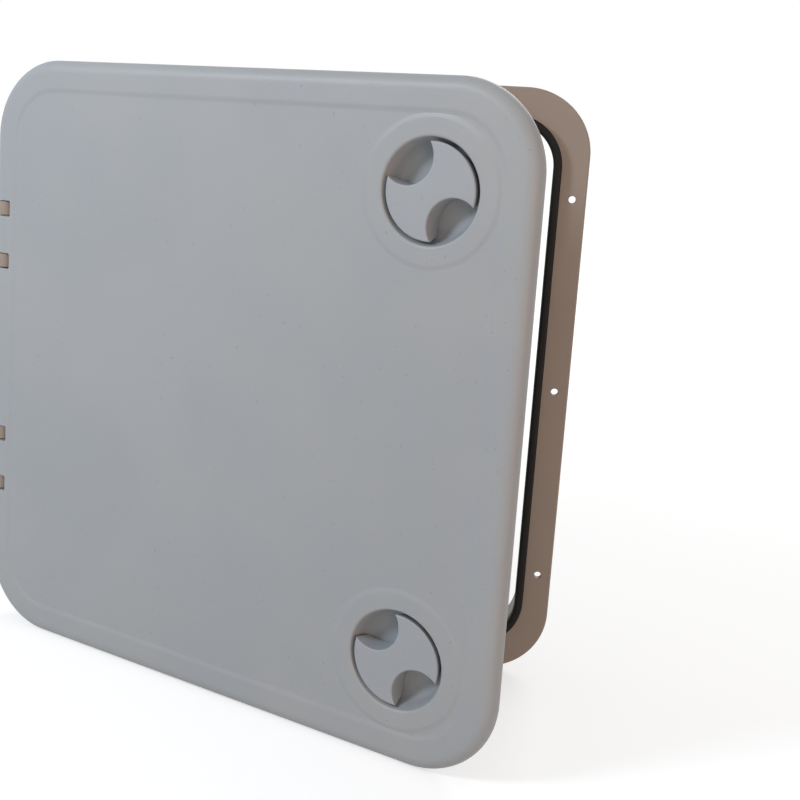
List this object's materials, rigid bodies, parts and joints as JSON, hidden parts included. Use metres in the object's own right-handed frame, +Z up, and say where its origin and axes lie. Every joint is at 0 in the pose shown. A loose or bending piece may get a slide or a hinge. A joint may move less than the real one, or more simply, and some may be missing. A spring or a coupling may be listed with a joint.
{
  "type": "access hatch",
  "caption": "Square moulded access hatch: a screw-on frame with a gasketed opening, and a hinged lid held shut by recessed quarter-turn latches whose cams hook behind the frame.",
  "frame": {"origin": "centre of the flange's corner screws, on the flange's back face", "axes": "+Z up along the latch side, +X to the latches, front of the hatch to -Y"},
  "size_m": [0.375, 0.1869, 0.375],
  "materials": {
    "lid_plastic": "satin moulded grey",
    "frame_plastic": "satin moulded grey",
    "knob_plastic": "satin moulded grey",
    "black_rubber": "matt black",
    "white_nylon": "natural nylon",
    "black_nylon": "fine matt texture",
    "stainless": "polished stainless"
  },
  "bodies": {
    "frame": {"frame": "frame_plastic", "frame_gasket": "black_rubber", "hinge_pin_lower": "stainless", "hinge_pin_upper": "stainless"},
    "lid": {"lid": "lid_plastic"},
    "latch_lower": {"knob_lower": "knob_plastic", "knob_o_ring_lower": "black_rubber", "thrust_washer_lower": "white_nylon", "cam_lower": "black_nylon", "cam_washer_lower": "stainless", "cam_screw_lower": "stainless"},
    "latch_upper": {"knob_upper": "knob_plastic", "knob_o_ring_upper": "black_rubber", "thrust_washer_upper": "white_nylon", "cam_upper": "black_nylon", "cam_washer_upper": "stainless", "cam_screw_upper": "stainless"}
  },
  "joints": [
    {"name": "lid_hinge", "type": "hinge", "parent": "frame", "child": "lid", "pos_m": [-0.18125, -0.01145, 0], "axis": [0, 0, -1], "range_deg": [-24, 86]},
    {"name": "latch_lower_turn", "type": "hinge", "parent": "lid", "child": "latch_lower", "pos_m": [0.09872, -0.14294, -0.128], "axis": [-0.4067, -0.9135, 0], "range_deg": [-90, 0]},
    {"name": "latch_upper_turn", "type": "hinge", "parent": "lid", "child": "latch_upper", "pos_m": [0.09872, -0.14294, 0.128], "axis": [-0.4067, -0.9135, 0], "range_deg": [0, 90]}
  ]
}
